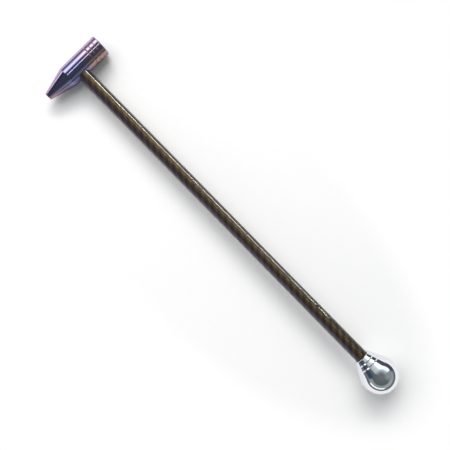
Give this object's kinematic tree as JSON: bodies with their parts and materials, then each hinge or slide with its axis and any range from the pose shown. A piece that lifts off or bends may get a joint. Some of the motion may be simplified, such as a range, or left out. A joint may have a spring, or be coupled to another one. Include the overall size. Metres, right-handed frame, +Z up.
{
  "type": "dent repair hammer",
  "caption": "Slim hammer for blending dents in sheet metal: a turned head with a crowned face and a coned nose, a straight woven carbon tube as shaft, and a polished ball knob.",
  "frame": {"origin": "on the surface the tool lies on, under the middle of its box", "axes": "+X level along the shaft from the head to the ball knob, +Y along the head towards the striking face, +Z up from the surface; the shaft climbs 1.08 degrees towards the thicker ball"},
  "size_m": [0.3324, 0.0544, 0.028],
  "materials": {
    "tinted_metal": "satin",
    "stud_steel": "satin",
    "o_ring_rubber": "matte",
    "woven_carbon": "gloss",
    "straight_carbon": "matte",
    "plug_aluminium": "satin",
    "washer_nylon": "matte",
    "mirror_knob": "polished"
  },
  "bodies": {
    "root": {"head_barrel": "tinted_metal", "shaft_weave": "woven_carbon", "shaft_core": "straight_carbon", "head_plug": "plug_aluminium", "knob_insert": "plug_aluminium"},
    "tip_slide": {"tip_o_ring": "o_ring_rubber"},
    "tip": {"striking_tip": "tinted_metal", "tip_stud": "stud_steel"},
    "knob_slide": {"knob_washer": "washer_nylon"},
    "knob": {"ball_knob": "mirror_knob", "knob_stud": "stud_steel"}
  },
  "joints": [
    {"name": "tip_feed", "type": "slide", "parent": "root", "child": "tip_slide", "axis": [0, 1, 0], "range_m": [0, 0.0065]},
    {"name": "tip_turn", "type": "hinge", "parent": "tip_slide", "child": "tip", "pos_m": [-0.15805, 0.01572, 0.00815], "axis": [0, 1, 0], "range_deg": [0, 2340]},
    {"name": "knob_feed", "type": "slide", "parent": "root", "child": "knob_slide", "axis": [0.9998, 0, 0.0189], "range_m": [0, 0.01]},
    {"name": "knob_turn", "type": "hinge", "parent": "knob_slide", "child": "knob", "pos_m": [0.1522, 0.00272, 0.014], "axis": [0.9998, 0, 0.0189], "range_deg": [0, 4500]}
  ],
  "couplings": [
    {"joint": "tip_feed", "follows": "tip_turn", "m_per_rad": 0.00015915},
    {"joint": "knob_feed", "follows": "knob_turn", "m_per_rad": 0.00012732}
  ]
}
